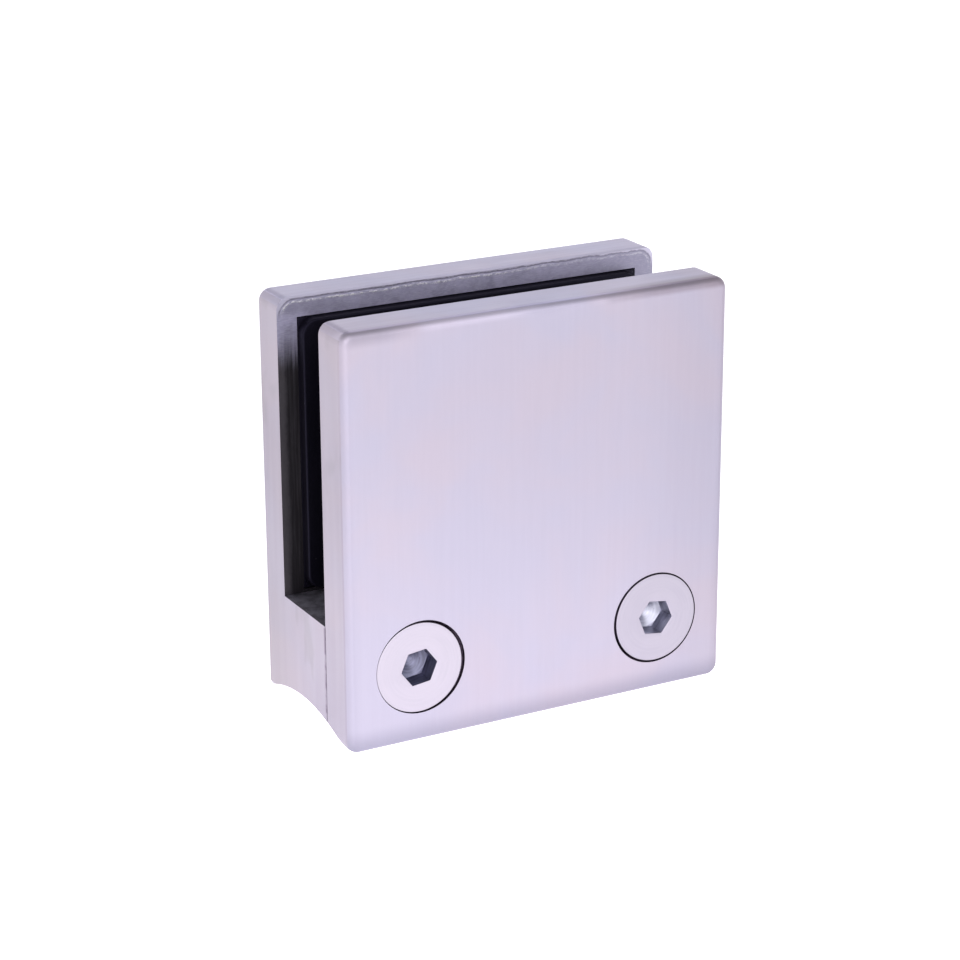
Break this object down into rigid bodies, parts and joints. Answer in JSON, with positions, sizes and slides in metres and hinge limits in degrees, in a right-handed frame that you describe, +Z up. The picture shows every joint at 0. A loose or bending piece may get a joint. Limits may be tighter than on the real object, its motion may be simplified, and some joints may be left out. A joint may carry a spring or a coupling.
{
  "type": "glass panel clamp",
  "caption": "Square steel clamp with a saddle foot that holds the edge of a glass panel between two rubber pads under a screwed cover plate.",
  "frame": {"origin": "middle of the clamp's width and depth, level with the lowest line of the saddle, under the cover", "axes": "+X along the glass edge and the tube, +Y through the glass from the cover to the back plate, +Z up out of the saddle towards the glass"},
  "size_m": [0.05, 0.0222, 0.05],
  "materials": {
    "clamp_steel": "satin ground stainless steel casting",
    "screw_steel": "satin stainless steel screw",
    "pad_rubber": "matt black moulded rubber"
  },
  "bodies": {
    "body": {"body": "clamp_steel", "body_pad": "pad_rubber"},
    "cover": {"cover": "clamp_steel", "cover_pad": "pad_rubber"},
    "left_screw": {"left_screw": "screw_steel"},
    "right_screw": {"right_screw": "screw_steel"}
  },
  "joints": [
    {"name": "cover_draw", "type": "slide", "parent": "body", "child": "cover", "axis": [0, -1, 0], "range_m": [0, 0.01]},
    {"name": "left_screw_turn", "type": "hinge", "parent": "cover", "child": "left_screw", "pos_m": [-0.01585, -0.01115, 0.0091], "axis": [0, -1, 0], "range_deg": [0, 3600]},
    {"name": "right_screw_turn", "type": "hinge", "parent": "cover", "child": "right_screw", "pos_m": [0.01585, -0.01115, 0.0091], "axis": [0, -1, 0], "range_deg": [0, 3600]}
  ],
  "couplings": [
    {"joint": "left_screw_turn", "follows": "cover_draw", "rad_per_m": 6283.2},
    {"joint": "right_screw_turn", "follows": "cover_draw", "rad_per_m": 6283.2}
  ]
}
